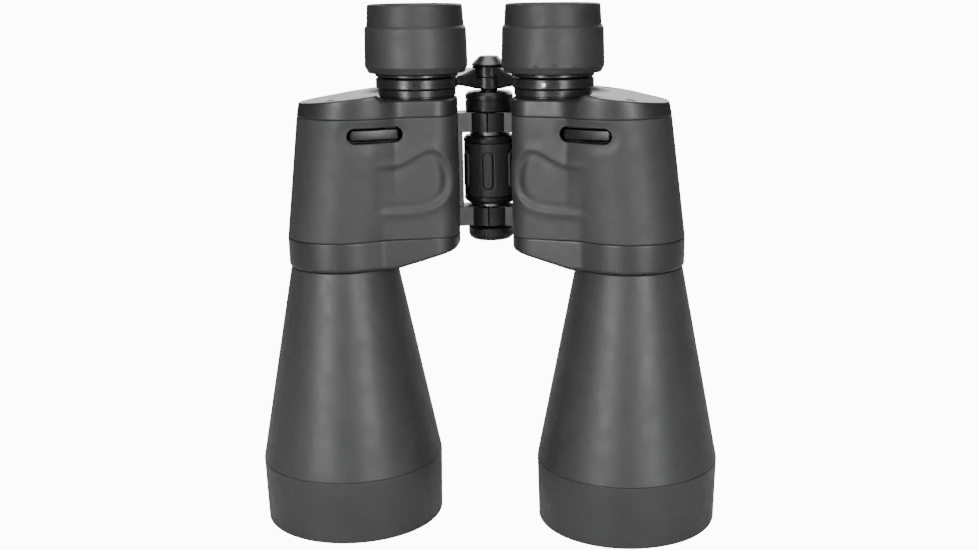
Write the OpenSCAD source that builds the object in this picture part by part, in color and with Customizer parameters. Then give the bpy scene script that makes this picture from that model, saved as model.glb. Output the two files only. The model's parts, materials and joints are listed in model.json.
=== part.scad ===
/* [Overall] */
// Outside diameter of each objective ring
ring_d = 82; // [80:0.5:84]
// Distance between the two objective axes
objective_spacing = 126.8; // [124:0.2:130]
// Distance between the two eyepiece axes as folded here
eyepiece_spacing = 59.4; // [59:0.2:61]
// How far the eyepiece axes lie behind the objective axes
eyepiece_y = 8.5; // [8:0.1:9]
// How far the hinge axis lies behind the objective axes
hinge_y = 28; // [27.5:0.1:28.4]

/* [Objective barrels] */
// Height of the widest line of the objective ring
ring_h = 29; // [26:0.5:31]
// Radius of the ring at its front rim
ring_rim_r = 40.4; // [39.9:0.1:40.9]
// Height where the tapered barrel meets the prism body
barrel_top = 118.6; // [117:0.2:119]
// Outside radius of the tapered barrel at its top
barrel_top_r = 23.5; // [23:0.1:24]
// Clear diameter of the objective lens
lens_d = 70; // [68:0.5:70.5]
// Depth of the front rim before the lens cell
hood_depth = 9; // [8:0.5:10]

/* [Prism bodies] */
// Height of the seam between the front cover and the rubber armour
front_seam = 131.8; // [131:0.1:132.5]
// Height of the seam between the armour and the rear cover
rear_seam = 184.3; // [184:0.1:185]
// Height of the flat part of the rear cover
cover_top = 191.3; // [191:0.1:191.6]
// Radius of the outer lobe, round the objective axis
outer_lobe_r = 24.3; // [24:0.1:24.6]
// Radius of the inner lobe, round the eyepiece axis
inner_lobe_r = 17.5; // [17.3:0.1:17.8]
// Radius of the rear lobe, where the two prisms cross
rear_lobe_r = 17; // [16.5:0.1:17]
// How far the outer wall leans in between the two seams
wall_lean = 6.8; // [6:0.1:7.5]
// Thickness of the rubber armour
armor_t = 2; // [1.8:0.1:2.2]
// Thickness of the metal prism housing
housing_t = 2.2; // [2:0.1:2.3]

/* [Prisms] */
// Width of a prism
prism_w = 19; // [17:0.5:19]
// Half the length of the long face of a prism
prism_half = 21.5; // [20:0.5:21.5]
// Height of the shelf that carries both prisms
shelf_z = 153; // [152:0.5:154]
// Thickness of the prism shelf
shelf_t = 3; // [2.5:0.1:3.5]

/* [Eyepieces] */
// Outside radius of the rubber grip ring at its widest
grip_r = 22.3; // [22:0.1:22.6]
// Outside radius of the eyecup at its foot
eyecup_r = 20.9; // [20.6:0.1:21]
// Height of the eyecup rim
eyecup_top = 230.5; // [228:0.5:232]
// Outside radius of the sliding ocular tube
tube_r = 12; // [11.8:0.05:12]
// Room left for a running fit, on the radius
running_gap = 0.06; // [0.04:0.01:0.09]

/* [Hinge and focus] */
// Radius of the hinge axle
axle_r = 6; // [5.8:0.1:6.2]
// Outside radius of the hinge collar
collar_r = 10.8; // [10.4:0.1:11]
// Radius of the focus wheel
wheel_r = 12; // [11.6:0.1:12.2]
// Number of raised ribs round the focus wheel
wheel_ribs = 6; // [4:1:8]
// Radius of the lead screw
screw_r = 4; // [3.8:0.1:4]
// Nominal radius of the tripod thread
tripod_r = 3.175; // [3.1:0.005:3.2]

/* [Hidden] */
$fn = 96;

// Shared clearances
fit_gap = 0.1;
layer_gap = 0.25;
slack = 1;
post_sides = 36;

// Plan positions on the left half, which the right half mirrors
objective = [-objective_spacing / 2, 0];
eyepiece = [-eyepiece_spacing / 2, eyepiece_y];
hinge = [0, hinge_y];
axis_step = eyepiece - objective;
knee = (objective + eyepiece) / 2 + [-axis_step[1], axis_step[0]] / 2;
rear_prism_mid = (objective + knee) / 2;
front_prism_mid = (knee + eyepiece) / 2;
rear_prism_turn = atan2(knee[1] - objective[1], knee[0] - objective[0]);
front_prism_turn = atan2(eyepiece[1] - knee[1], eyepiece[0] - knee[0]);
web_r = 9.5;
web_inner = [eyepiece[0] + inner_lobe_r - web_r, -1.2];
web_outer = [-42, -5.5];

// Heights through the body
cover_floor = 127;
rear_floor = 188;
housing_z0 = front_seam + 0.1;
housing_z1 = 187.8;
hump_outer = 190;
hump_inner = 193.8;
lug_z = [[131.9, 140.5], [174.3, 183]];
pocket = [24.4, 9, 6.8];
pocket_mid = [-44.6, -16.8, 177.4];
pocket_turn = 23;
pocket_wall = 1.6;
bar = [21.8, 2.4, 5.2];
screw_spots = [[-63, -16.5], [-53.5, 32.5], [-39.5, -8.8]];
lug_turn = 180 + 17;
lug_width = 12;
lug_reach = 36;
lug_step = 0.2;

// Lens shapes
crown_front_r = 170;
crown_back_r = 130;
crown_t = 9;
flint_t = 5.5;

// Focus parts
wheel_z = [142.1, 172.4];
hub_z = [193.2, 198.2, 203.2];
travel_room = 1.3;

module on_left() {
    children();
}

module on_right() {
    mirror([1, 0, 0]) children();
}

module at_objective(z = 0) {
    translate([objective[0], objective[1], z]) children();
}

module at_eyepiece(z = 0) {
    translate([eyepiece[0], eyepiece[1], z]) children();
}

module at_hinge(z = 0) {
    translate([hinge[0], hinge[1], z]) children();
}

// A thin-walled tube from z0 to z1
module tube(outer, inner, z0, z1) {
    difference() {
        translate([0, 0, z0]) cylinder(r = outer, h = z1 - z0);
        translate([0, 0, z0 - slack]) cylinder(r = inner, h = z1 - z0 + 2 * slack);
    }
}

// One round corner post of the body, from z0 to z1
module post(centre, r, z0, z1, lean = false) {
    tilt = lean ? wall_lean / (rear_seam - front_seam) : 0;
    translate([centre[0] + tilt * (z0 - front_seam), centre[1], z0])
        multmatrix([[1, 0, tilt, 0], [0, 1, 0, 0], [0, 0, 1, 0]])
            cylinder(r = r, h = z1 - z0, $fn = post_sides);
}

// The solid three-lobed body of one half, made thinner all round by inset
module lobed_block(z0, z1, inset = 0, lean = true) {
    hull() {
        post(objective, outer_lobe_r - inset, z0, z1, lean);
        post(knee, rear_lobe_r - inset, z0, z1);
    }
    hull() {
        post(knee, rear_lobe_r - inset, z0, z1);
        post(eyepiece, inner_lobe_r - inset, z0, z1);
    }
    hull() {
        post(web_inner, web_r - inset, z0, z1);
        post(web_outer, web_r - inset, z0, z1);
        post(eyepiece, inner_lobe_r - inset, z0, z1);
    }
}

module at_pocket() {
    translate(pocket_mid) rotate([0, 0, pocket_turn]) children();
}

// The round-ended pocket behind the strap bar, made larger all round by grow
module pocket_shape(grow = 0) {
    half = (pocket[0] - pocket[2]) / 2;
    depth = pocket[1] + 2 * grow;
    at_pocket() rotate([-90, 0, 0]) translate([0, 0, -depth / 2]) {
        for (side = [-1, 1])
            translate([side * half, 0, 0]) cylinder(r = pocket[2] / 2 + grow, h = depth);
        translate([-half, -pocket[2] / 2 - grow, 0])
            cube([2 * half, pocket[2] + 2 * grow, depth]);
    }
}

// The part of the pocket's wall that lies below the armour
module pocket_shell(grow, front) {
    difference() {
        pocket_shape(grow);
        at_pocket() translate([-30, -20 + front, -15]) cube([60, 20, 30]);
    }
}

module strap_rod(grow = 0) {
    at_pocket() translate([0, 1.4, 0]) rotate([0, 90, 0])
        cylinder(r = 1.1 + grow, h = bar[0] + 5.4 + 2 * grow, center = true);
}

// ---- Objective end ----

module objective_ring() {
    color("#2e2f31") at_objective() rotate_extrude() polygon([
        [lens_d / 2 + 3.3, 0.8],
        [lens_d / 2 + 3.9, 0],
        [ring_rim_r - 0.8, 0],
        [ring_rim_r, 0.8],
        [ring_d / 2, ring_h],
        [ring_d / 2 - 1.5, ring_h],
        [ring_d / 2 - 1.5, ring_h - 7],
        [lens_d / 2 + 2.6, ring_h - 7],
        [lens_d / 2 + 2.6, hood_depth - 1]
    ]);
}

module objective_barrel() {
    wall = 1.9;
    neck_r = 19.4;
    color("#343537") at_objective() rotate_extrude() polygon([
        [ring_d / 2 - 3.6, ring_h - 6.8],
        [ring_d / 2 - 1.6, ring_h - 6.8],
        [ring_d / 2 - 1.6, ring_h + 0.1],
        [ring_d / 2 - 0.15, ring_h + 0.1],
        [barrel_top_r, barrel_top],
        [neck_r, barrel_top],
        [neck_r, cover_floor - 0.4],
        [neck_r - wall, cover_floor - 0.4],
        [neck_r - wall, barrel_top],
        [barrel_top_r - wall - 1.2, barrel_top - 3],
        [ring_d / 2 - 3.6, ring_h + 4]
    ]);
}

module objective_cell() {
    r = lens_d / 2 + 2.5;
    color("#1b1c1e") at_objective() rotate_extrude() polygon([
        [lens_d / 2 - 1.2, hood_depth + 15.6],
        [lens_d / 2 - 1.2, hood_depth + 14.3],
        [lens_d / 2 + 0.1, hood_depth + 14.3],
        [lens_d / 2 + 0.1, hood_depth],
        [r, hood_depth],
        [r, ring_h - 7.1],
        [r - 0.9, ring_h - 7.1],
        [r - 0.9, hood_depth + 15.6]
    ]);
}

// Front element: convex on both sides
module crown_lens() {
    z0 = hood_depth - 0.4;
    color("#8fb8a8") at_objective() intersection() {
        translate([0, 0, z0]) cylinder(r = lens_d / 2, h = crown_t + slack);
        translate([0, 0, z0 + crown_front_r]) sphere(r = crown_front_r, $fn = 200);
        translate([0, 0, z0 + crown_t - crown_back_r]) sphere(r = crown_back_r, $fn = 200);
    }
}

// Second element: hollow towards the crown and flat behind
module flint_lens() {
    z0 = hood_depth - 0.4;
    edge_z = z0 + crown_t - 4.6;
    color("#9cc0b4") at_objective() difference() {
        translate([0, 0, edge_z]) cylinder(r = lens_d / 2, h = crown_t + flint_t - (edge_z - z0));
        translate([0, 0, z0 + crown_t + fit_gap - crown_back_r]) sphere(r = crown_back_r, $fn = 200);
    }
}

module lens_retainer() {
    color("#141416") at_objective() rotate_extrude() polygon([
        [lens_d / 2 - 1, hood_depth - 1.4],
        [lens_d / 2 + 2.4, hood_depth - 1.4],
        [lens_d / 2 + 2.4, hood_depth - 0.05],
        [lens_d / 2, hood_depth - 0.05],
        [lens_d / 2, hood_depth + 2.9],
        [lens_d / 2 - 1, hood_depth + 2.9]
    ]);
}

// ---- Prism body ----

module front_cover() {
    slope = 15;
    color("#26272a") difference() {
        lobed_block(barrel_top + fit_gap, front_seam, 0, false);
        lobed_block(cover_floor, front_seam + slack, armor_t + housing_t, false);
        at_objective(barrel_top - slack) cylinder(r = 19.4 + fit_gap, h = 20);
        translate([eyepiece[0] - 8, -40, barrel_top - 0.2]) rotate([0, -slope, 0])
            translate([0, 0, -20]) cube([60, 100, 20]);
    }
}

// Arms that carry the lugs, and the web between them that closes the body beside the wheel
module lug_arms(grow = 0) {
    web_start = wheel_r + 1.2;
    web_width = 8;
    for (z = lug_z)
        at_hinge(z[0] - grow) rotate([0, 0, lug_turn])
            translate([0, -lug_width / 2 - grow, 0])
                cube([lug_reach, lug_width + 2 * grow, z[1] - z[0] + 2 * grow]);
    at_hinge(lug_z[0][1] - slack) rotate([0, 0, lug_turn])
        translate([web_start, -web_width / 2 - grow, 0])
            cube([lug_reach - web_start, web_width + 2 * grow, lug_z[1][0] - lug_z[0][1] + 2 * slack]);
}

// The quarter disc that meets its twin at the middle of the visible side
module lug_pads() {
    pad_r = 11.2;
    split = 0.35;
    for (z = lug_z) {
        height = z[1] - z[0] - 2 * lug_step;
        at_hinge(z[0] + lug_step) intersection() {
            cylinder(r = pad_r, h = height);
            translate([-pad_r - split, -pad_r, -slack])
                cube([pad_r, pad_r + 2, height + 2 * slack]);
        }
    }
}

// Knuckle rings of one half: own = 0 takes the lower half of each lug, 1 the upper
module lug_rings(own) {
    for (z = lug_z) {
        half = (z[1] - z[0]) / 2;
        at_hinge(z[0] + (own == 1 ? half + fit_gap : lug_step))
            cylinder(r = 8, h = half - fit_gap - lug_step);
    }
}

// Room for the knuckle rings of the other half
module lug_room(own) {
    for (z = lug_z) {
        half = (z[1] - z[0]) / 2;
        at_hinge(z[0] + (1 - own) * half - (own == 1 ? slack : fit_gap))
            cylinder(r = 8.4, h = half + slack + fit_gap);
    }
}

module lug_bores(own) {
    gap = own == 0 ? 0.02 : running_gap;
    for (z = lug_z)
        at_hinge(z[0] - slack) cylinder(r = axle_r + gap, h = z[1] - z[0] + 2 * slack);
}

module prism_housing(own) {
    inset = armor_t + housing_t;
    color("#4b4d50") difference() {
        union() {
            difference() {
                union() {
                    difference() {
                        union() {
                            lobed_block(housing_z0, housing_z1, armor_t);
                            lug_arms();
                            lug_pads();
                        }
                        lug_room(own);
                    }
                    lug_rings(own);
                }
                lobed_block(housing_z0 - slack, housing_z1 + slack, inset);
            }
            pocket_shell(pocket_wall, 0.2);
            for (p = screw_spots)
                translate([p[0], p[1], 181]) cylinder(r = 2.6, h = housing_z1 - 181);
        }
        lug_bores(own);
        pocket_shape();
        strap_rod(0.03);
        for (p = screw_spots)
            translate([p[0], p[1], 181.6]) cylinder(r = 1.05, h = 10);
    }
}

module armor() {
    color("#3a3b3d") difference() {
        lobed_block(front_seam + 0.05, rear_seam - 0.05);
        lobed_block(front_seam - slack, rear_seam + slack, armor_t - layer_gap);
        pocket_shape(0.05);
        pocket_shell(pocket_wall + fit_gap, fit_gap);
        lug_arms(fit_gap);
    }
}

module rear_cover() {
    fall = atan2(hump_inner - hump_outer, 36);
    color("#26272a") difference() {
        lobed_block(rear_seam, hump_inner + 0.4);
        lobed_block(rear_seam - slack, rear_floor, armor_t - layer_gap);
        translate([-80.5, -60, hump_outer]) rotate([0, -fall, 0])
            translate([-10, 0, 0]) cube([90, 120, 20]);
        at_eyepiece(cover_top) cylinder(r1 = 24.5, r2 = 29, h = 4.5);
        translate([eyepiece[0] - 12, -60, cover_top]) cube([60, 120, 20]);
        at_eyepiece(rear_floor - slack) cylinder(r = tube_r + 1.2, h = 20);
        for (p = screw_spots) {
            translate([p[0], p[1], rear_floor - slack]) cylinder(r = 1.35, h = 10);
            translate([p[0], p[1], rear_floor + 1.6]) cylinder(r = 2.3, h = 10);
        }
    }
}

module cover_screws() {
    for (p = screw_spots)
        color("#55585c") translate([p[0], p[1], 0]) difference() {
            union() {
                translate([0, 0, 182]) cylinder(r = 1, h = 7.7);
                translate([0, 0, rear_floor + 1.65]) cylinder(r = 2.1, h = 1.3);
            }
            translate([0, 0, rear_floor + 2.2]) for (turn = [0, 90])
                rotate([0, 0, turn]) translate([-1.3, -0.3, 0]) cube([2.6, 0.6, 2]);
        }
}

module strap_bar() {
    color("#c9ccd0") {
        at_pocket() translate([0, -0.3, 0]) cube(bar, center = true);
        strap_rod();
    }
}

// ---- Prisms ----

module prism_shelf() {
    hole_r = prism_w / 2 - 0.9;
    color("#8d9094") difference() {
        lobed_block(shelf_z, shelf_z + shelf_t, armor_t + housing_t + fit_gap);
        for (p = [objective, knee, eyepiece])
            translate([p[0], p[1], shelf_z - slack])
                cylinder(r = hole_r, h = shelf_t + 2 * slack);
    }
}

// A right-angled prism lying on its long face, centred on the origin
module porro_prism() {
    intersection() {
        rotate([90, 0, 0]) translate([0, 0, -prism_w / 2]) linear_extrude(prism_w) polygon([
            [-prism_half, 0],
            [prism_half, 0],
            [0.6, prism_half - 0.6],
            [-0.6, prism_half - 0.6]
        ]);
        translate([0, 0, -slack]) cylinder(r = prism_half + 0.6, h = prism_half + 2 * slack);
    }
}

module rear_prism() {
    color("#b9d6d2")
        translate([rear_prism_mid[0], rear_prism_mid[1], shelf_z + shelf_t])
            rotate([0, 0, rear_prism_turn]) porro_prism();
}

module front_prism() {
    color("#b9d6d2")
        translate([front_prism_mid[0], front_prism_mid[1], shelf_z])
            rotate([0, 0, front_prism_turn]) mirror([0, 0, 1]) porro_prism();
}

// A spring strap that bends over the ridge of a prism
module prism_clip() {
    strap_w = 6;
    strap_t = 0.6;
    span = prism_w + 2 * fit_gap;
    top = prism_half - 0.6 + fit_gap;
    difference() {
        translate([-strap_w / 2, -span / 2 - strap_t, 0])
            cube([strap_w, span + 2 * strap_t, top + strap_t]);
        translate([-strap_w / 2 - slack, -span / 2, -slack])
            cube([strap_w + 2 * slack, span, top + slack]);
    }
}

module prism_clips() {
    color("#a9adb1") {
        translate([rear_prism_mid[0], rear_prism_mid[1], shelf_z + shelf_t])
            rotate([0, 0, rear_prism_turn]) prism_clip();
        translate([front_prism_mid[0], front_prism_mid[1], shelf_z])
            rotate([0, 0, front_prism_turn]) mirror([0, 0, 1]) prism_clip();
    }
}

// ---- Eyepieces ----

module ocular_sleeve() {
    color("#1d1e20") at_eyepiece() rotate_extrude() polygon([
        [tube_r + running_gap, 179],
        [tube_r + 1.1, 179],
        [tube_r + 1.1, cover_top + 0.1],
        [16.9, cover_top + 0.1],
        [16.9, 194.7],
        [16.6, 195],
        [tube_r + running_gap, 195]
    ]);
}

// Casting that joins the lead screw to one ocular: own = 0 takes the lower hub
module bridge_arm(own) {
    hub_gap = fit_gap / 2;
    bore_gap = own == 0 ? 0.02 : running_gap;
    reach = norm(hinge - eyepiece);
    turn = atan2(eyepiece[1] - hinge_y, eyepiece[0]);
    color("#202124") difference() {
        union() {
            difference() {
                at_hinge() rotate([0, 0, turn]) {
                    hull() {
                        translate([5, -4.2, hub_z[0] + 0.3]) cube([5, 8.4, hub_z[2] - hub_z[0] - 0.6]);
                        translate([reach - 19.5, -5, 195.3]) cube([2.2, 10, 4.2]);
                    }
                    translate([reach - 18, -5, 195.3]) cube([4, 10, 4.2]);
                }
                at_hinge(own == 0 ? hub_z[1] - hub_gap : hub_z[0] - slack)
                    cylinder(r = 7.9, h = hub_z[1] - hub_z[0] + slack + hub_gap);
            }
            at_hinge(own == 0 ? hub_z[0] : hub_z[1] + hub_gap)
                cylinder(r = 7.5, h = hub_z[1] - hub_z[0] - hub_gap);
            at_eyepiece() rotate_extrude() polygon([
                [0, 195.2],
                [17.5, 195.2],
                [17.8, 195.5],
                [17.8, 199.3],
                [17.5, 199.6],
                [0, 199.6]
            ]);
        }
        at_hinge(hub_z[0] - slack) cylinder(r = screw_r - 0.8 + bore_gap, h = 20);
        at_eyepiece(190) cylinder(r = tube_r + 0.02, h = 12);
    }
}

module ocular_barrel() {
    color("#17181a") at_eyepiece() rotate_extrude() polygon([
        [tube_r - 1.2, 176.5],
        [tube_r, 176.5],
        [tube_r, 199.7],
        [15, 199.7],
        [15, 200.3],
        [17.9, 200.3],
        [17.9, 201.5],
        [15, 201.5],
        [15, 220.2],
        [13, 220.2],
        [13, 202.2],
        [tube_r - 1.2, 202.2]
    ]);
}

// Inner cell that carries the eyepiece lenses
module lens_cell() {
    r = 13 - running_gap;
    color("#101113") at_eyepiece() rotate_extrude() polygon([
        [9.2, 202.2 + travel_room],
        [r, 202.2 + travel_room],
        [r, 219],
        [9.6, 219],
        [9.6, 217.9],
        [10.9, 217.9],
        [10.9, 204.6],
        [9.2, 204.6]
    ]);
}

module field_lens() {
    color("#9cc0b4") at_eyepiece() intersection() {
        translate([0, 0, 204.7]) cylinder(r = 10.8, h = 5);
        translate([0, 0, 209.2 - 30]) sphere(r = 30, $fn = 160);
    }
}

module eye_lens() {
    color("#9cc0b4") at_eyepiece() intersection() {
        translate([0, 0, 212.3]) cylinder(r = 10.8, h = 5.5);
        translate([0, 0, 212.3 + 34]) sphere(r = 34, $fn = 160);
        translate([0, 0, 217.7 - 34]) sphere(r = 34, $fn = 160);
    }
}

module grip_ring(gap) {
    color("#343537") at_eyepiece() rotate_extrude() polygon([
        [15 + gap, 201.8],
        [20.9, 201.8],
        [grip_r, 204.6],
        [grip_r - 0.4, 220.7],
        [grip_r - 1, 221.5],
        [eyecup_r + 0.05, 221.5],
        [eyecup_r + 0.05, 213.9],
        [17.4, 213.9],
        [17.4, 220.6],
        [15 + gap, 220.6]
    ]);
}

module eyecup() {
    lip = 1.2;
    color("#303133") at_eyepiece() rotate_extrude() {
        polygon([
            [17.5, 214],
            [eyecup_r, 214],
            [eyecup_r, 221.8],
            [eyecup_r - 0.6, eyecup_top - lip],
            [eyecup_r - 0.6 - lip, eyecup_top],
            [eyecup_r - 0.6 - 1.6, eyecup_top],
            [17.5, eyecup_top - lip]
        ]);
        translate([eyecup_r - 0.6 - lip, eyecup_top - lip]) circle(r = lip);
    }
}

// ---- Hinge and focus ----

module hinge_axle() {
    color("#2a2b2e") at_hinge() tube(axle_r, screw_r + 0.35, 172.6, 191.4);
}

module hinge_collar() {
    color("#1b1c1e") at_hinge() rotate_extrude() polygon([
        [axle_r + 0.02, 183.2],
        [collar_r - 0.5, 183.2],
        [collar_r, 183.7],
        [collar_r, 190.6],
        [collar_r - 1.2, 191.8],
        [screw_r + 0.4, 191.8],
        [screw_r + 0.4, 191.5],
        [axle_r + 0.02, 191.5]
    ]);
}

module hinge_pin() {
    color("#2a2b2e") at_hinge() difference() {
        translate([0, 0, 131]) cylinder(r = axle_r, h = 10.9);
        translate([0, 0, 131 - slack]) cylinder(r = tripod_r, h = slack + 9);
    }
}

module hinge_washers() {
    color("#9b9ea2") at_hinge() {
        tube(9, axle_r + 0.05, 140.7, 141.9);
        tube(9, axle_r + 0.05, 172.7, 174.2);
    }
}

module focus_wheel() {
    flange = 3.2;
    core_r = wheel_r - 1.8;
    color("#232427") at_hinge() rotate_extrude() polygon([
        [screw_r + running_gap, wheel_z[0]],
        [wheel_r - 1.2, wheel_z[0]],
        [wheel_r, wheel_z[0] + 1.2],
        [wheel_r, wheel_z[0] + flange],
        [core_r, wheel_z[0] + flange],
        [core_r, wheel_z[1] - flange],
        [wheel_r, wheel_z[1] - flange],
        [wheel_r, wheel_z[1] - 1.2],
        [wheel_r - 1.2, wheel_z[1]],
        [screw_r + running_gap, wheel_z[1]]
    ]);
}

module focus_grip() {
    z0 = wheel_z[0] + 3.3;
    z1 = wheel_z[1] - 3.3;
    rib = [4.4, 16.5];
    color("#2b2c2e") at_hinge() {
        tube(wheel_r - 0.1, wheel_r - 1.75, z0, z1);
        for (i = [0 : wheel_ribs - 1])
            rotate([0, 0, -90 + i * 360 / wheel_ribs])
                translate([wheel_r - 1, -rib[0] / 2, (z0 + z1 - rib[1]) / 2])
                    cube([1.5, rib[0], rib[1]]);
    }
}

module lead_screw() {
    color("#8f9296") at_hinge() {
        translate([0, 0, 143]) cylinder(r = screw_r, h = hub_z[0] - 143);
        translate([0, 0, hub_z[0]]) cylinder(r = screw_r - 0.8, h = 206 - hub_z[0]);
    }
}

module screw_cap() {
    color("#6d7075") at_hinge() rotate_extrude() polygon([
        [screw_r - 0.78, hub_z[2] + 0.2],
        [7.7, hub_z[2] + 0.2],
        [7.7, hub_z[2] + 0.6],
        [4.1, 207.4],
        [0, 207.4],
        [0, 206.1],
        [screw_r - 0.78, 206.1]
    ]);
}

module tripod_cap() {
    color("#1d1e20") at_hinge() rotate_extrude() polygon([
        [0, 124.8],
        [8.6, 124.8],
        [10.2, 126],
        [10.5, 127.4],
        [10.5, 130.4],
        [10.1, 130.8],
        [tripod_r - 0.2, 130.8],
        [tripod_r - 0.2, 138.6],
        [0, 138.6]
    ]);
}

on_left() objective_ring();  // objective_ring_left
on_right() objective_ring();  // objective_ring_right
on_left() objective_barrel();  // objective_barrel_left
on_right() objective_barrel();  // objective_barrel_right
on_left() objective_cell();  // objective_cell_left
on_right() objective_cell();  // objective_cell_right
on_left() crown_lens();  // crown_lens_left
on_right() crown_lens();  // crown_lens_right
on_left() flint_lens();  // flint_lens_left
on_right() flint_lens();  // flint_lens_right
on_left() lens_retainer();  // lens_retainer_left
on_right() lens_retainer();  // lens_retainer_right
on_left() front_cover();  // front_cover_left
on_right() front_cover();  // front_cover_right
on_left() prism_housing(0);  // prism_housing_left
on_right() prism_housing(1);  // prism_housing_right
on_left() armor();  // armor_left
on_right() armor();  // armor_right
on_left() rear_cover();  // rear_cover_left
on_right() rear_cover();  // rear_cover_right
on_left() cover_screws();  // cover_screws_left
on_right() cover_screws();  // cover_screws_right
on_left() prism_shelf();  // prism_shelf_left
on_right() prism_shelf();  // prism_shelf_right
on_left() rear_prism();  // rear_prism_left
on_right() rear_prism();  // rear_prism_right
on_left() front_prism();  // front_prism_left
on_right() front_prism();  // front_prism_right
on_left() prism_clips();  // prism_clips_left
on_right() prism_clips();  // prism_clips_right
on_left() strap_bar();  // strap_bar_left
on_right() strap_bar();  // strap_bar_right
on_left() ocular_sleeve();  // ocular_sleeve_left
on_right() ocular_sleeve();  // ocular_sleeve_right
on_left() bridge_arm(0);  // bridge_arm_left
on_right() bridge_arm(1);  // bridge_arm_right
on_left() ocular_barrel();  // ocular_barrel_left
on_right() ocular_barrel();  // ocular_barrel_right
on_left() lens_cell();  // lens_cell_left
on_right() lens_cell();  // lens_cell_right
on_left() field_lens();  // field_lens_left
on_right() field_lens();  // field_lens_right
on_left() eye_lens();  // eye_lens_left
on_right() eye_lens();  // eye_lens_right
on_left() grip_ring(0.02);  // grip_ring_left
on_right() grip_ring(running_gap);  // diopter_ring_right
on_left() eyecup();  // eyecup_left
on_right() eyecup();  // eyecup_right
hinge_axle();
hinge_collar();
hinge_pin();
hinge_washers();
focus_wheel();
focus_grip();
lead_screw();
screw_cap();
tripod_cap();
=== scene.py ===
"""Looks of the astronomy binoculars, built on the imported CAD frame.

Lengths in the helpers are in millimetres and are turned into metres when a mesh is made.
side is -1 for the half on the user's left (-X) and +1 for the half on the right.
"""
import json
import math

import bmesh
import bpy
import numpy as np
from mathutils import Matrix, Vector


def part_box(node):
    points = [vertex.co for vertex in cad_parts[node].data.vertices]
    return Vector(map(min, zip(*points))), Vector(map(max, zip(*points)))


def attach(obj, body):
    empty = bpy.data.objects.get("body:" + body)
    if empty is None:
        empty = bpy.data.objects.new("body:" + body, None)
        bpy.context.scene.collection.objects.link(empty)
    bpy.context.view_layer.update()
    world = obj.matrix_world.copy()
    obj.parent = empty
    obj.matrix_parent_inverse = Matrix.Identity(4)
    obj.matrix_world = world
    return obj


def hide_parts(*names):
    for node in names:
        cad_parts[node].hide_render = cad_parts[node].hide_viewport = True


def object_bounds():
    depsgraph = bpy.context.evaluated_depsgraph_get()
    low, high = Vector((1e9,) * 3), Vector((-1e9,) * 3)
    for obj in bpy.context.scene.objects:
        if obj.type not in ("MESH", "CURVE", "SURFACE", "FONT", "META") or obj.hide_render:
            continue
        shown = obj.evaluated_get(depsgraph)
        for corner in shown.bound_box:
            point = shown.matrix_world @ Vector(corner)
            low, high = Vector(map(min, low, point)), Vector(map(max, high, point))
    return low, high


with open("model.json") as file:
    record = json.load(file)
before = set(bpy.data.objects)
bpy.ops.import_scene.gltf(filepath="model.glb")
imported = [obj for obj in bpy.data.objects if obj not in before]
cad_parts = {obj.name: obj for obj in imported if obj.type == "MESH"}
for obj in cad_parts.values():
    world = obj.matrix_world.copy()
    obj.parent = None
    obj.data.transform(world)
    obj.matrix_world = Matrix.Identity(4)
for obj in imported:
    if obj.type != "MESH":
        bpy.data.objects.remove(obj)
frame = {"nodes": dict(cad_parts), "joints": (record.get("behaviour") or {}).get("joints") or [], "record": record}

CAD_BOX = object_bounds()
MM = 0.001
SIDES = {"left": -1, "right": 1}
TURN = 2 * math.pi


# ---------------------------------------------------------------- places taken from the frame

def box_mm(node):
    """Lowest and highest corner of a CAD node, in millimetres."""
    low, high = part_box(node)
    return np.array(low) / MM, np.array(high) / MM


def joint_named(name):
    return next(j for j in frame["joints"] if j["name"] == name)


def centre_mm(node):
    low, high = box_mm(node)
    return (low + high) / 2


OBJECTIVE = centre_mm("objective_ring_left")[:2]
EYEPIECE = centre_mm("ocular_barrel_left")[:2]
HINGE = np.array(joint_named("fold")["pos_m"][:2]) / MM
STEP = EYEPIECE - OBJECTIVE
KNEE = (OBJECTIVE + EYEPIECE) / 2 + np.array([-STEP[1], STEP[0]]) / 2

BAND_LOW, BAND_HIGH = box_mm("front_cover_left")
ARMOR_LOW, ARMOR_HIGH = box_mm("armor_left")
REAR_LOW, REAR_HIGH = box_mm("rear_cover_left")
FRONT_SEAM = BAND_HIGH[2]
REAR_SEAM = REAR_LOW[2]
OUTER_R = OBJECTIVE[0] - BAND_LOW[0]
INNER_R = BAND_HIGH[0] - EYEPIECE[0]
REAR_R = BAND_HIGH[1] - KNEE[1]
WALL_LEAN = REAR_LOW[0] - BAND_LOW[0]
WEB_R = 9.5
WEB_INNER = np.array([BAND_HIGH[0] - WEB_R, -1.2])
WEB_OUTER = np.array([-42.0, -5.5])
PLAN_CENTRE = np.array([-46.0, 4.0])
ARMOR_T = 2.0


def on_side(xy, side):
    """A plan point of the left half, carried to the half asked for."""
    return np.array([abs(xy[0]) * side, xy[1]])


# ---------------------------------------------------------------- mesh helpers

def face_outward(mesh):
    bm = bmesh.new()
    bm.from_mesh(mesh)
    bmesh.ops.recalc_face_normals(bm, faces=bm.faces)
    bm.to_mesh(mesh)
    bm.free()


def shade_smooth(obj, smooth=True):
    for polygon in obj.data.polygons:
        polygon.use_smooth = smooth


def swept_faces(stations, count):
    """Quads of an open run of closed sections, with a face across each end."""
    faces = []
    for a in range(0, (stations - 1) * count, count):
        b = a + count
        faces += [(a + k, a + (k + 1) % count, b + (k + 1) % count, b + k) for k in range(count)]
    last = stations * count - 1
    return faces + [tuple(range(count)), tuple(range(last, last - count, -1))]


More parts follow.
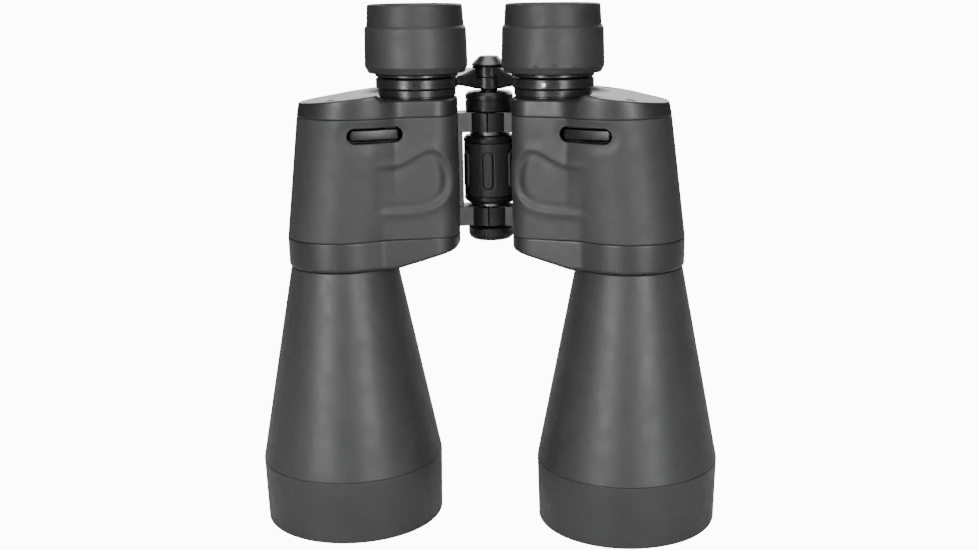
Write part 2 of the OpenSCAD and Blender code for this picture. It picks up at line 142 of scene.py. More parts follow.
def add_piece(name, verts_mm, faces, body, material, replaces=(), smooth=True):
    """A mesh object from millimetre vertices, riding on a body and standing for CAD nodes."""
    mesh = bpy.data.meshes.new(name)
    mesh.from_pydata([tuple(float(c) * MM for c in v) for v in verts_mm], [], faces)
    mesh.validate()
    face_outward(mesh)
    obj = bpy.data.objects.new(name, mesh)
    bpy.context.scene.collection.objects.link(obj)
    return finish_piece(obj, body, material, replaces, smooth)


def finish_piece(obj, body, material, replaces=(), smooth=True):
    obj.data.materials.clear()
    obj.data.materials.append(material)
    shade_smooth(obj, smooth)
    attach(obj, body)
    if replaces:
        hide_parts(*replaces)
    return obj


def round_corners(points, radii, steps=5):
    """Rounds the corners of a closed outline, with a support point beside each arc."""
    out = []
    count = len(points)
    for i, radius in enumerate(radii):
        here = np.array(points[i], float)
        if not radius:
            out.append(tuple(here))
            continue
        before = np.array(points[i - 1], float) - here
        after = np.array(points[(i + 1) % count], float) - here
        reach_a, reach_b = np.linalg.norm(before), np.linalg.norm(after)
        before, after = before / reach_a, after / reach_b
        half = math.acos(max(-1, min(1, float(before @ after)))) / 2
        cut = min(radius / math.tan(half), 0.46 * reach_a, 0.46 * reach_b)
        radius = cut * math.tan(half)
        middle = here + (before + after) / np.linalg.norm(before + after) * radius / math.sin(half)
        start, end = here + before * cut - middle, here + after * cut - middle
        bend = math.atan2(start[0] * end[1] - start[1] * end[0], float(start @ end))
        out.append(tuple(here + before * cut * 1.12))
        for k in range(steps + 1):
            a = bend * k / steps
            c, s = math.cos(a), math.sin(a)
            out.append((middle[0] + start[0] * c - start[1] * s,
                        middle[1] + start[0] * s + start[1] * c))
        out.append(tuple(here + after * cut * 1.12))
    return out


def lathe_mesh(profile, centre, segments=160):
    """Vertices and faces of a closed outline of (radius, height) turned round a vertical axis."""
    verts, rings = [], []
    for r, z in profile:
        if r < 1e-6:
            rings.append([len(verts)] * segments)
            verts.append((centre[0], centre[1], z))
            continue
        rings.append([len(verts) + k for k in range(segments)])
        verts += [(centre[0] + r * math.cos(TURN * k / segments),
                   centre[1] + r * math.sin(TURN * k / segments), z) for k in range(segments)]
    faces = []
    for a, b in zip(rings, rings[1:] + rings[:1]):
        for k in range(segments):
            m = (k + 1) % segments
            corners = []
            for v in (a[k], a[m], b[m], b[k]):
                if v not in corners:
                    corners.append(v)
            if len(corners) > 2:
                faces.append(tuple(corners))
    return verts, faces


def lathe(name, outline, centre, body, material, replaces=(), segments=160):
    """outline is a list of (radius, height, corner radius)."""
    profile = round_corners([p[:2] for p in outline], [p[2] for p in outline])
    verts, faces = lathe_mesh(profile, centre, segments)
    return add_piece(name, verts, faces, body, material, replaces)


def applied(obj):
    """Freezes an object's modifiers into its mesh."""
    graph = bpy.context.evaluated_depsgraph_get()
    mesh = bpy.data.meshes.new_from_object(obj.evaluated_get(graph))
    obj.modifiers.clear()
    obj.data = mesh
    return obj


def cut_with(obj, cutter):
    """Takes the cutter's shape out of the object and removes the cutter."""
    modifier = obj.modifiers.new("cut", "BOOLEAN")
    modifier.object = cutter
    modifier.operation = "DIFFERENCE"
    modifier.solver = "EXACT"
    applied(obj)
    bpy.data.objects.remove(cutter)


def bevelled(obj, width_mm, segments=3, angle=35):
    """A rounded edge as a modifier, which leaves the mesh itself alone."""
    bevel = obj.modifiers.new("edges", "BEVEL")
    bevel.width = width_mm * MM
    bevel.segments = segments
    bevel.limit_method = "ANGLE"
    bevel.angle_limit = math.radians(angle)
    bevel.harden_normals = True
    return obj


def plain_object(name, verts_mm, faces):
    """A helper mesh, such as a cutter, that isn't part of the object."""
    mesh = bpy.data.meshes.new(name)
    mesh.from_pydata([tuple(float(c) * MM for c in v) for v in verts_mm], [], faces)
    obj = bpy.data.objects.new(name, mesh)
    bpy.context.scene.collection.objects.link(obj)
    return obj


# ---------------------------------------------------------------- materials

def node_tree(name):
    material = bpy.data.materials.new(name)
    material.use_nodes = True
    tree = material.node_tree
    shader = tree.nodes["Principled BSDF"]
    return material, tree, shader


def noise(tree, scale, detail=3.0, rough=0.55, coords=None):
    """An object-space noise; scale is in cycles per metre."""
    texture = tree.nodes.new("ShaderNodeTexNoise")
    texture.inputs["Scale"].default_value = scale
    texture.inputs["Detail"].default_value = detail
    texture.inputs["Roughness"].default_value = rough
    if coords is None:
        coords = tree.nodes.new("ShaderNodeTexCoord").outputs["Object"]
    tree.links.new(coords, texture.inputs["Vector"])
    return texture.outputs["Fac"]


def ramp_between(tree, source, low, high, start=0.35, end=0.65):
    """Maps a 0 to 1 value to a range of numbers."""
    node = tree.nodes.new("ShaderNodeMapRange")
    node.inputs["From Min"].default_value = start
    node.inputs["From Max"].default_value = end
    node.inputs["To Min"].default_value = low
    node.inputs["To Max"].default_value = high
    tree.links.new(source, node.inputs["Value"])
    return node.outputs["Result"]


def colour_between(tree, source, low, high, start=0.3, end=0.7):
    ramp = tree.nodes.new("ShaderNodeValToRGB")
    ramp.color_ramp.elements[0].position = start
    ramp.color_ramp.elements[0].color = (*low, 1)
    ramp.color_ramp.elements[1].position = end
    ramp.color_ramp.elements[1].color = (*high, 1)
    tree.links.new(source, ramp.inputs["Fac"])
    return ramp.outputs["Color"]


def bumped(tree, shader, layers):
    """Chains bumps; layers is a list of (height source, strength, distance in metres)."""
    last = None
    for source, strength, distance in layers:
        bump = tree.nodes.new("ShaderNodeBump")
        bump.inputs["Strength"].default_value = strength
        bump.inputs["Distance"].default_value = distance
        tree.links.new(source, bump.inputs["Height"])
        if last is not None:
            tree.links.new(last, bump.inputs["Normal"])
        last = bump.outputs["Normal"]
    tree.links.new(last, shader.inputs["Normal"])


def grey(value, tint=(1.0, 1.0, 1.02)):
    return tuple(value * t for t in tint)


def rubber(name, tone, rough, grain=2600, grain_strength=0.35):
    """Moulded rubber: fine stipple, faint mottling and slightly uneven gloss."""
    material, tree, shader = node_tree(name)
    mottle = noise(tree, 55, 4.0, 0.6)
    tree.links.new(colour_between(tree, mottle, grey(tone * 0.9), grey(tone * 1.1)),
                   shader.inputs["Base Color"])
    tree.links.new(ramp_between(tree, noise(tree, 140), rough - 0.05, rough + 0.05),
                   shader.inputs["Roughness"])
    shader.inputs["Specular IOR Level"].default_value = 0.42
    bumped(tree, shader, [(noise(tree, grain, 2.0, 0.5), grain_strength, 0.00009),
                          (noise(tree, 420, 2.0, 0.5), 0.12, 0.0002)])
    return material


def enamel(name, tone, rough, coat=0.15, peel=0.12):
    """Satin black enamel on metal: orange peel and faint handling marks."""
    material, tree, shader = node_tree(name)
    tree.links.new(colour_between(tree, noise(tree, 70, 4.0), grey(tone * 0.88), grey(tone * 1.12)),
                   shader.inputs["Base Color"])
    tree.links.new(ramp_between(tree, noise(tree, 320, 5.0, 0.65), rough - 0.05, rough + 0.06),
                   shader.inputs["Roughness"])
    shader.inputs["Coat Weight"].default_value = coat
    shader.inputs["Coat Roughness"].default_value = 0.3
    bumped(tree, shader, [(noise(tree, 1500, 2.0, 0.5), peel, 0.00006)])
    return material


def metal(name, tone, rough, stretch=(1, 1, 1), scale=900, scratch=0.12):
    """Bare or anodised metal, with turning or brushing marks drawn out along an axis."""
    material, tree, shader = node_tree(name)
    coords = tree.nodes.new("ShaderNodeTexCoord")
    mapping = tree.nodes.new("ShaderNodeMapping")
    mapping.inputs["Scale"].default_value = stretch
    tree.links.new(coords.outputs["Object"], mapping.inputs["Vector"])
    lines = noise(tree, scale, 3.0, 0.6, mapping.outputs["Vector"])
    tree.links.new(colour_between(tree, lines, grey(tone * 0.85), grey(tone * 1.1)),
                   shader.inputs["Base Color"])
    tree.links.new(ramp_between(tree, lines, rough - 0.05, rough + 0.07), shader.inputs["Roughness"])
    shader.inputs["Metallic"].default_value = 1.0
    bumped(tree, shader, [(lines, scratch, 0.00003)])
    return material


def coated_glass(name, tint, coat_colour):
    """Lens glass whose thin coating gives a coloured reflection."""
    material, tree, shader = node_tree(name)
    shader.inputs["Base Color"].default_value = (*tint, 1)
    shader.inputs["Transmission Weight"].default_value = 1.0
    shader.inputs["IOR"].default_value = 1.52
    shader.inputs["Specular Tint"].default_value = (*coat_colour, 1)
    tree.links.new(ramp_between(tree, noise(tree, 60, 2.0), 0.01, 0.035), shader.inputs["Roughness"])
    bumped(tree, shader, [(noise(tree, 30, 1.0), 0.02, 0.00002)])
    return material


def painted_mark(name, colour):
    material, tree, shader = node_tree(name)
    low = tuple(c * 0.93 for c in colour)
    tree.links.new(colour_between(tree, noise(tree, 900, 2.0), low, colour), shader.inputs["Base Color"])
    shader.inputs["Roughness"].default_value = 0.5
    bumped(tree, shader, [(noise(tree, 2600, 2.0), 0.1, 0.00004)])
    return material


BARREL = rubber("barrel_coat", 0.028, 0.46, grain=3200, grain_strength=0.18)
ARMOR = rubber("armor_rubber", 0.027, 0.54, grain=2400, grain_strength=0.3)
GRIP = rubber("grip_rubber", 0.024, 0.52)
EYECUP = rubber("eyecup_rubber", 0.018, 0.55)
SATIN = enamel("satin_black", 0.012, 0.44)
ANODISED = enamel("black_anodised", 0.012, 0.3, coat=0.0)
CASTING = enamel("body_casting", 0.014, 0.45, coat=0.05, peel=0.25)
GREY_ANODISED = metal("grey_anodised", 0.16, 0.34, (1, 1, 12))
BARE = metal("bare_aluminium", 0.62, 0.35, (1, 8, 1))
DARK_STEEL = metal("dark_steel", 0.12, 0.32, (1, 1, 14))
SPRING = metal("spring_steel", 0.5, 0.28, (8, 1, 1))
WASHER = metal("washer_steel", 0.32, 0.3)
SCREW_STEEL = metal("screw_steel", 0.34, 0.25, (1, 1, 14))
CHROME = metal("chrome_bar", 0.03, 0.3, (1, 14, 14), scale=400, scratch=0.08)
GLASS = coated_glass("coated_glass", (0.93, 0.97, 0.95), (0.55, 0.9, 0.65))
WHITE_MARK = painted_mark("white_mark", (0.85, 0.85, 0.83))

SLOT_MATERIALS = {
    "barrel_coat": BARREL, "armor_rubber": ARMOR, "grip_rubber": GRIP, "eyecup_rubber": EYECUP,
    "satin_black": SATIN, "black_anodised": ANODISED, "grey_anodised": GREY_ANODISED,
    "body_casting": CASTING, "bare_aluminium": BARE, "dark_steel": DARK_STEEL,
    "spring_steel": SPRING, "washer_steel": WASHER, "screw_steel": SCREW_STEEL,
    "chrome_bar": CHROME, "coated_glass": GLASS,
}


def dress_cad_nodes():
    """Gives every CAD node the procedural material of its slot."""
    slots = {s["node"]: s["material_slot"] for s in frame["record"]["subparts"]}
    for name, obj in frame["nodes"].items():
        obj.data.materials.clear()
        obj.data.materials.append(SLOT_MATERIALS[slots[name]])


# ---------------------------------------------------------------- the lobed body outline

def circle_exit(angles, start, centre, radius):
    """How far a ray from start runs, at each angle, before it leaves the circle."""
    along = np.cos(angles) * (centre[0] - start[0]) + np.sin(angles) * (centre[1] - start[1])
    across = -np.sin(angles) * (centre[0] - start[0]) + np.cos(angles) * (centre[1] - start[1])
    inside = radius ** 2 - across ** 2
    return np.where(inside > 0, along + np.sqrt(np.maximum(inside, 0)), 0)


def lobed_radius(angles, start, inset, lean):
    """Plan radius of the three-lobed body about start, for one amount of lean."""
    outer = (OBJECTIVE + np.array([lean, 0]), OUTER_R - inset)
    rear = (KNEE, REAR_R - inset)
    inner = (EYEPIECE, INNER_R - inset)
    web_a, web_b = (WEB_INNER, WEB_R - inset), (WEB_OUTER, WEB_R - inset)
    reach = np.zeros_like(angles)
    pairs = [(outer, rear), (rear, inner), (web_a, web_b), (web_a, inner), (web_b, inner)]
    for (place_a, radius_a), (place_b, radius_b) in pairs:
        for t in np.linspace(0, 1, 60):
            place = place_a + (place_b - place_a) * t
            radius = radius_a + (radius_b - radius_a) * t
            reach = np.maximum(reach, circle_exit(angles, start, place, radius))
    return reach


def soften(values, angles, width):
    """Rounds a closed radial outline by averaging over neighbouring angles."""
    step = float(angles[1] - angles[0])
    span = int(3 * width / step)
    offsets = np.arange(-span, span + 1)
    weights = np.exp(-0.5 * (offsets * step / width) ** 2)
    weights /= weights.sum()
    return sum(w * np.roll(values, int(o)) for w, o in zip(weights, offsets))


VALLEY = np.array([-48.0, -20.0])


class Outline:
    """The body's outline about a plan point, at any height, with the valley between its lobes filled."""

    def __init__(self, start=PLAN_CENTRE, count=480, width=0.045):
        self.start = np.array(start, float)
        self.angles = np.arange(count) * TURN / count
        way = VALLEY - self.start
        off = (self.angles - math.atan2(way[1], way[0]) + math.pi) % TURN - math.pi
        near_valley = np.exp(-(off * np.linalg.norm(way) / 13) ** 2)
        self.low, self.high = (self.blended(lobed_radius(self.angles, self.start, 0, lean), width,
                                            5.5 / np.linalg.norm(way), near_valley)
                               for lean in (0, WALL_LEAN))

    def blended(self, reach, width, wide, share):
        gentle = soften(reach, self.angles, width)
        return gentle + (soften(reach, self.angles, wide) - gentle) * share

    def radii(self, z):
        """Below the front seam the wall is straight; above it the wall leans in."""
        share = max(0.0, (z - FRONT_SEAM) / (REAR_SEAM - FRONT_SEAM))
        return self.low + (self.high - self.low) * share

    def points(self, z, inset=0.0):
        r = self.radii(z) - inset
        return np.stack([self.start[0] + r * np.cos(self.angles),
                         self.start[1] + r * np.sin(self.angles)], axis=1)


def band_faces(rows, count):
    """Quads between consecutive closed rings of vertices, the last joined to the first."""
    faces = []
    for a in range(rows):
        b = (a + 1) % rows
        for k in range(count):
            m = (k + 1) % count
            faces.append((a * count + k, a * count + m, b * count + m, b * count + k))
    return faces


def mirrored(points, side):
    """Left-half points carried to the asked half."""
    out = np.array(points, float)
    if side > 0:
        out[:, 0] *= -1
    return out


# ---------------------------------------------------------------- rubber armour

REST_TAIL_X, SWELL_START_X, CREST_X, NOSE_X, FOOT_X = -45.0, -37.4, -21.7, -13.3, -32.0
REST_LEVEL_Z, CREST_Z, NOSE_Z, FOOT_Z = 164.5, 170.7, 157.4, 143.8
FOOT_POWER = 2.3
POCKET_CENTRE = centre_mm("strap_bar_left")
POCKET_TURN = math.radians(23)
POCKET_LENGTH, POCKET_WIDTH = 24.4, 6.8


def thumb_rest_path():
    """A level edge that swells up to a round nose and comes back as a flatter curve below it."""
    share = np.linspace(0, 1, 14)
    swell = np.stack([SWELL_START_X + (CREST_X - SWELL_START_X) * share,
                      REST_LEVEL_Z + (CREST_Z - REST_LEVEL_Z) * step_between(share, 0, 1)], axis=1)
    turn = np.linspace(0, math.pi / 2, 22)[1:]
    nose = np.stack([CREST_X + (NOSE_X - CREST_X) * np.sin(turn),
                     NOSE_Z + (CREST_Z - NOSE_Z) * np.cos(turn)], axis=1)
    bend = 2 / FOOT_POWER
    foot = np.stack([FOOT_X + (NOSE_X - FOOT_X) * np.maximum(np.cos(turn), 0) ** bend,
                     NOSE_Z + (FOOT_Z - NOSE_Z) * np.sin(turn) ** bend], axis=1)
    return np.concatenate([[(REST_TAIL_X, REST_LEVEL_Z)], swell, nose, foot, [(REST_TAIL_X, FOOT_Z)]])


def distance_to_path(points, path):
    """Distance from each point to a polyline, and whether it lies on the path's left."""
    a, b = path[:-1], path[1:]
    best = np.full(len(points), 1e9)
    left = np.zeros(len(points), bool)
    for p, q in zip(a, b):
        d = q - p
        t = np.clip(((points - p) @ d) / float(d @ d), 0, 1)
        gap = points - p - t[:, None] * d
        dist = np.hypot(gap[:, 0], gap[:, 1])
        side = d[0] * (points[:, 1] - p[1]) - d[1] * (points[:, 0] - p[0]) > 0
        nearer = dist < best
        left[nearer] = side[nearer]
        best = np.minimum(best, dist)
    return best, left


def step_between(values, start, end):
    t = np.clip((values - start) / (end - start), 0, 1)
    return t * t * (3 - 2 * t)


def pill_distance(x, z):
    """Distance outside the strap pocket's rim, measured along the body's face."""
    along = np.abs((x - POCKET_CENTRE[0]) / math.cos(POCKET_TURN))
    straight = (POCKET_LENGTH - POCKET_WIDTH) / 2
    return np.hypot(np.maximum(along - straight, 0), z - POCKET_CENTRE[2]) - POCKET_WIDTH / 2


def in_pocket(along, out, up):
    """A point of the left strap pocket from its own directions."""
    c, s = math.cos(POCKET_TURN), math.sin(POCKET_TURN)
    return (POCKET_CENTRE[0] + along * c - out * s,
            POCKET_CENTRE[1] + along * s + out * c,
            POCKET_CENTRE[2] + up)


def armor_relief(x, z, facing):
    """Height of the moulded relief: the thumb rest's rim and the dish round the strap pocket."""
    points = np.stack([x, z], axis=1)
    gap, outside = distance_to_path(points, thumb_rest_path())
    fade = step_between(-x, 47, 37)
    inner_end = step_between(-x, 24, 14)
    rim = 0.62 * np.exp(-(np.where(outside, gap / 2.3, gap / 1.3)) ** 2)
    hollow = np.where(outside, 0, -(0.2 + 0.6 * inner_end) * np.exp(-((gap - 2.6) / 1.9) ** 2))
    dish = -0.75 * np.exp(-(np.maximum(pill_distance(x, z), 0) / 2.6) ** 2)
    return facing * (fade * (rim + hollow) + dish)


def make_armor(name, side):
    """Grained rubber sleeve with its thumb rest in relief and the strap pocket cut through."""
    outline = Outline(count=560)
    count = len(outline.angles)
    z0, z1 = ARMOR_LOW[2], ARMOR_HIGH[2]
    edge = 0.55
    heights = [z0 + edge * (1 - math.cos(a)) for a in np.linspace(0, math.pi / 2, 5)]
    insets = [edge * (1 - math.sin(a)) for a in np.linspace(0, math.pi / 2, 5)]
    middle = np.linspace(z0 + edge * 1.6, z1 - edge * 1.6, 92)
    heights = heights + list(middle) + [z0 + z1 - h for h in reversed(heights)]
    insets = insets + [0.0] * len(middle) + list(reversed(insets))
    rows = [np.column_stack([outline.points(z0, ARMOR_T - 0.1), np.full(count, z0)])]
    for z, inset in zip(heights, insets):
        flat = outline.points(z, inset)
        ahead, behind = np.roll(flat, -1, axis=0), np.roll(flat, 1, axis=0)
        tangent = ahead - behind
        normal = np.stack([tangent[:, 1], -tangent[:, 0]], axis=1)
        normal /= np.linalg.norm(normal, axis=1)[:, None]
        facing = step_between(-normal[:, 1], 0.0, 0.35)
        inner_corner = step_between(flat[:, 0], -14.5, -12.3) * step_between(-flat[:, 1], -14, -2)
        height = armor_relief(flat[:, 0], np.full(count, z), np.maximum(facing, inner_corner))
        flat = flat + normal * np.minimum(height, 0.85)[:, None]
        rows.append(np.column_stack([flat, np.full(count, z)]))
    rows.append(np.column_stack([outline.points(z1, ARMOR_T - 0.1), np.full(count, z1)]))
    verts = mirrored(np.concatenate(rows), side)
    body = f"{name}_half"
    obj = add_piece(f"armor_sleeve_{name}", verts, band_faces(len(rows), count), body,
                    ARMOR, [f"armor_{name}"])
    cut_with(obj, pocket_cutter(side))
    shade_smooth(obj)
    return obj


def pocket_cutter(side):
    """A round-ended bar that points out of the underside through the strap pocket."""
    half, radius, depth = (POCKET_LENGTH - POCKET_WIDTH) / 2, POCKET_WIDTH / 2, 7.0
    ring = []
    for end in (1, -1):
        for k in range(25):
            a = -math.pi / 2 + math.pi * k / 24
            ring.append((end * (half + radius * math.cos(a)), end * radius * math.sin(a)))
    verts = [in_pocket(u, y, w) for y in (-depth, depth) for u, w in ring]
    obj = plain_object("pocket_cutter", mirrored(verts, side), swept_faces(2, len(ring)))
    face_outward(obj.data)
    return obj


# ---------------------------------------------------------------- front and rear covers

SLOPE_START = EYEPIECE[0] - 8
SLOPE = math.tan(math.radians(15))
NECK_R = 19.5


def make_front_cover(name, side):
    """Satin end cap: its lower face climbs towards the hinge and its edges are rounded."""
    outline = Outline(start=OBJECTIVE + np.array([9.0, 1.0]), count=480)
    count = len(outline.angles)
    z0, z1 = BAND_LOW[2], FRONT_SEAM
    base = outline.points(z1)
    bottom = z0 + np.maximum(0, SLOPE * (base[:, 0] - SLOPE_START))
    bottom = soften(bottom, outline.angles, 0.03)
    edge = 1.7
    rows = [(outline.points(z1, 4.1), np.full(count, z1)),
            (outline.points(z1, 0.35), np.full(count, z1)),
            (outline.points(z1, 0.08), np.full(count, z1 - 0.1)), (base, np.full(count, z1 - 0.4))]
    for share in np.linspace(0.04, 0.96, 10):
        rows.append((base, (z1 - 0.4) * (1 - share) + (bottom + edge) * share))
    for a in np.linspace(0, math.pi / 2, 7):
        rows.append((outline.points(z1, edge * (1 - math.cos(a))), bottom + edge * (1 - math.sin(a))))
    rim = outline.points(z1, edge)
    way = rim - OBJECTIVE
    neck = OBJECTIVE + NECK_R * way / np.linalg.norm(way, axis=1)[:, None]
    neck_z = z0 + np.maximum(0, SLOPE * (neck[:, 0] - SLOPE_START))
    for share in np.linspace(0.12, 1, 14):
        plan = rim + (neck - rim) * share
        height = z0 + np.maximum(0, SLOPE * (plan[:, 0] - SLOPE_START))
        rows.append((plan, height))
    rows.append((neck, np.maximum(neck_z, z0) + 3.0))
    rows.append((outline.points(z1, 4.1), np.full(count, z0 + 9.5)))
    verts = np.concatenate([np.column_stack(row) for row in rows])
    return add_piece(f"front_cap_{name}", mirrored(verts, side), band_faces(len(rows), count),
                     f"{name}_half", SATIN, [f"front_cover_{name}"])


HUMP_OUTER_Z = 190.0
HUMP_INNER_Z = 193.8
COVER_TOP = 191.3
TURRET_R = 13.2


def cover_height(plan):
    """Top of the rear cover: a hump that rises inward and a round step down to the flat."""
    hump = HUMP_OUTER_Z + (HUMP_INNER_Z - HUMP_OUTER_Z) * (plan[:, 0] + 80.5) / 36
    away = np.hypot(plan[:, 0] - EYEPIECE[0], plan[:, 1] - EYEPIECE[1])
    raised = step_between(away, 24.6, 28.8) * step_between(-plan[:, 0], 39.5, 43.5)
    return COVER_TOP + np.minimum(hump - COVER_TOP, 3.2) * raised


def make_rear_cover(name, side):
    """Satin top cover with the hump over the outer prism and a rounded outer edge."""
    outline = Outline(start=EYEPIECE + np.array([-2.0, -0.5]), count=480)
    count = len(outline.angles)
    z0 = REAR_SEAM
    edge = 1.1
    base = outline.points(COVER_TOP)
    top = cover_height(outline.points(COVER_TOP, edge))
    rows = [(outline.points(z0, 4.0), np.full(count, z0)),
            (outline.points(z0, 0.35), np.full(count, z0)),
            (outline.points(z0, 0.08), np.full(count, z0 + 0.1)),
            (outline.points(z0), np.full(count, z0 + 0.4))]
    for share in np.linspace(0.08, 1, 7):
        z = z0 + 0.4 + (top - edge - z0 - 0.4) * share
        plan = outline.points(z0) + (base - outline.points(z0)) * share
        rows.append((plan, z))
    for a in np.linspace(0.15, math.pi / 2, 6):
        rows.append((outline.points(COVER_TOP, edge * (1 - math.cos(a))), top - edge * (1 - math.sin(a))))
    rim = outline.points(COVER_TOP, edge)
    way = rim - EYEPIECE
    turret = EYEPIECE + TURRET_R * way / np.linalg.norm(way, axis=1)[:, None]
    for share in np.linspace(0.01, 1, 64):
        plan = rim + (turret - rim) * share
        rows.append((plan, cover_height(plan)))
    rows.append((turret, np.full(count, z0 + 3.8)))
    rows.append((outline.points(z0, 4.0), np.full(count, z0 + 3.8)))
    verts = np.concatenate([np.column_stack(row) for row in rows])
    obj = add_piece(f"rear_cap_{name}", mirrored(verts, side), band_faces(len(rows), count),
                    f"{name}_half", SATIN, [f"rear_cover_{name}"])
    for low, high in screw_boxes(name):
        middle = (low + high) / 2
        radius = (high[0] - low[0]) / 2 + 0.2
        hole = [(0, low[2] - 0.02), (radius, low[2] - 0.02), (radius, high[2] + 8), (0, high[2] + 8)]
        verts, faces = lathe_mesh(hole, middle[:2], 48)
        cut_with(obj, plain_object("screw_cutter", verts, faces))
    shade_smooth(obj)
    return obj


def screw_boxes(name):
    """Where each cover screw's head sits, read from the CAD node's separate solids."""
    mesh = frame["nodes"][f"cover_screws_{name}"].data
    bm = bmesh.new()
    bm.from_mesh(mesh)
    bmesh.ops.remove_doubles(bm, verts=bm.verts, dist=1e-6)
    seen, heads = set(), []
    for start in bm.verts:
        if start.index in seen:
            continue
        island, stack = [], [start]
        while stack:
            v = stack.pop()
            if v.index in seen:
                continue
            seen.add(v.index)
            island.append(np.array(v.co) / MM)
            stack += [e.other_vert(v) for e in v.link_edges]
        island = np.array(island)
        low, high = island.min(0), island.max(0)
        heads.append((np.array([low[0], low[1], high[2] - 1.3]), high))
    bm.free()
    return heads


# ---------------------------------------------------------------- barrels

def make_barrels(name, side):
    centre = on_side(OBJECTIVE, side)
    low, high = box_mm("objective_ring_left")
    rim = low[2]
    ridge, ring_r = high[2], (high[0] - low[0]) / 2
    body = f"{name}_half"
    rim_r = ring_r - 0.6
    lathe(f"hood_ring_{name}", [
        (ring_r - 2.7, rim, 0.4), (rim_r, rim, 0.9), (ring_r, ridge, 0.25), (ring_r - 1.5, ridge, 0),
        (ring_r - 1.5, ridge - 7, 0), (ring_r - 3.4, ridge - 7, 0), (ring_r - 3.4, rim + 8, 0.3)],
        centre, body, BARREL, [f"objective_ring_{name}"], segments=240)
    low, high = box_mm("objective_barrel_left")
    top = BAND_LOW[2] - 0.1
    top_r = 23.5
    lathe(f"barrel_tube_{name}", [
        (ring_r - 3.6, low[2], 0), (ring_r - 1.6, low[2], 0), (ring_r - 1.6, ridge + 0.1, 0),
        (ring_r, ridge + 0.12, 0.25), (top_r, top, 0.4), (NECK_R - 0.1, top, 0), (NECK_R - 0.1, high[2], 0),
        (NECK_R - 2, high[2], 0), (NECK_R - 2, top, 0), (top_r - 3, top - 3, 0),
        (ring_r - 3.6, ridge + 4, 0)],
        centre, body, BARREL, [f"objective_barrel_{name}"], segments=240)


# ---------------------------------------------------------------- eyepieces

GRIP_FOOT_R, GRIP_FLARE = 20.9, 2.8


def make_eyepieces(name, side):
    centre = on_side(EYEPIECE, side)
    grip_node = "grip_ring_left" if side < 0 else "diopter_ring_right"
    cup_body = "left_ocular" if side < 0 else "diopter"
    grip_low, grip_high = box_mm(grip_node)
    grip_r = (grip_high[0] - grip_low[0]) / 2
    foot, ledge = grip_low[2], grip_high[2]
    cup_low, cup_high = box_mm(f"eyecup_{name}")
    cup_r = (cup_high[0] - cup_low[0]) / 2
    lathe(f"grip_{name}", [
        (15.06, foot, 0.2), (GRIP_FOOT_R, foot, 0.5), (grip_r, foot + GRIP_FLARE, 1.1),
        (grip_r - 0.45, ledge - 1.1, 0.7),
        (grip_r - 1.1, ledge, 0.3), (cup_r + 0.06, ledge, 0.1), (cup_r + 0.06, ledge - 7.5, 0),
        (17.4, ledge - 7.5, 0), (17.4, ledge - 0.9, 0.2), (15.06, ledge - 0.9, 0.2)],
        centre, cup_body, GRIP, [grip_node], segments=200)
    top = cup_high[2]
    lathe(f"cup_{name}", [
        (17.5, cup_low[2], 0), (cup_r, cup_low[2], 0), (cup_r, ledge + 0.4, 0.6),
        (cup_r - 0.55, top, 1.15), (cup_r - 2.6, top, 1.0), (cup_r - 3.3, top - 2.2, 0.6)],
        centre, cup_body, EYECUP, [f"eyecup_{name}"], segments=200)
    barrel_low, barrel_high = box_mm(f"ocular_barrel_{name}")
    tube_r = 12.0
    flange = (barrel_high[0] - barrel_low[0]) / 2
    lathe(f"ocular_tube_{name}", [
        (tube_r - 1.2, barrel_low[2], 0), (tube_r, barrel_low[2], 0.2), (tube_r, 199.7, 0), (15, 199.7, 0),
        (15, 200.3, 0), (flange, 200.3, 0.15), (flange, 201.5, 0.25), (15, 201.5, 0),
        (15, barrel_high[2], 0.2), (13, barrel_high[2], 0.2), (13, 202.2, 0), (tube_r - 1.2, 202.2, 0)],
        centre, f"{name}_ocular", ANODISED, [f"ocular_barrel_{name}"], segments=200)
    sleeve_low, sleeve_high = box_mm(f"ocular_sleeve_{name}")
    sleeve_r = (sleeve_high[0] - sleeve_low[0]) / 2
    lathe(f"turret_{name}", [
        (tube_r + 0.06, sleeve_low[2], 0), (tube_r + 1.1, sleeve_low[2], 0),
        (tube_r + 1.1, COVER_TOP + 0.1, 0), (sleeve_r - 0.5, COVER_TOP + 0.1, 0.1),
        (sleeve_r - 0.5, COVER_TOP + 0.7, 0.1),
        (sleeve_r, COVER_TOP + 0.9, 0.15), (sleeve_r, sleeve_high[2], 0.35),
        (tube_r + 0.06, sleeve_high[2], 0.1)],
        centre, f"{name}_half", ANODISED, [f"ocular_sleeve_{name}"], segments=200)


# ---------------------------------------------------------------- hinge and focus

